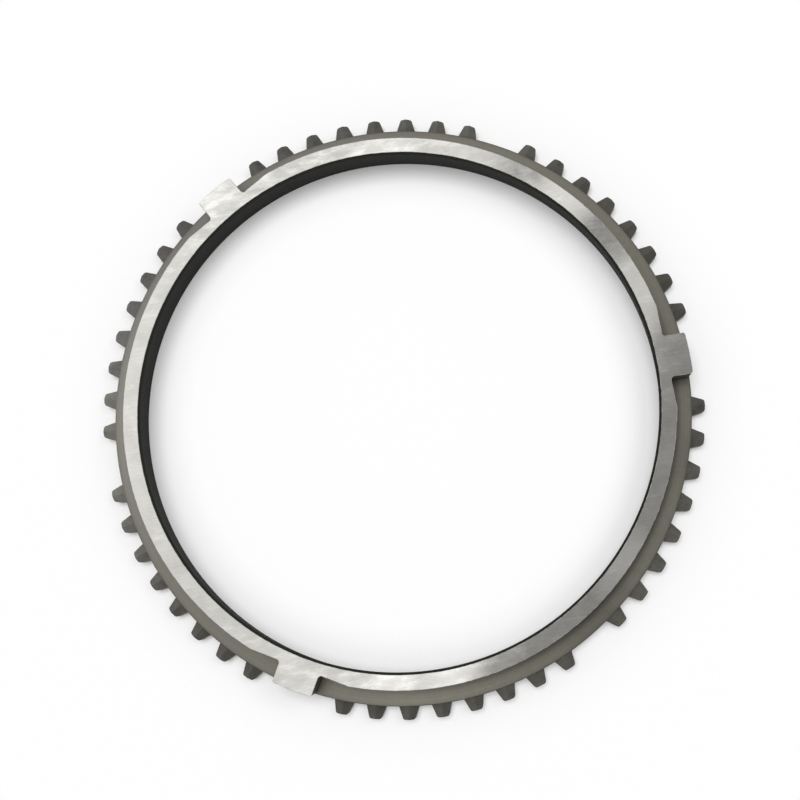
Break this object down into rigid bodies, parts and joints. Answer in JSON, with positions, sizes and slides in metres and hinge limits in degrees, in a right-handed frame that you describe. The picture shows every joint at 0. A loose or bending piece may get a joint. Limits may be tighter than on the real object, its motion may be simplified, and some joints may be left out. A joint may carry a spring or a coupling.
{
  "type": "synchronizer ring",
  "caption": "Steel gearbox synchronizer ring with pointed blocking teeth, index lugs and a black friction lining in its conical bore.",
  "frame": {"origin": "on the axis, in the plane of the gear-side face that the ring lies on", "axes": "+Z along the axis towards the hub side with the lugs, +X through the middle of one lug"},
  "size_m": [0.1583, 0.1596, 0.0134],
  "materials": {
    "ring_steel": "machined steel: bright ground end face and lug tops, dull grey-brown land, teeth and walls",
    "lining_black": "matt black resin-bonded friction lining"
  },
  "bodies": {
    "root": {"blocker_ring": "ring_steel", "friction_lining": "lining_black"}
  },
  "joints": []
}
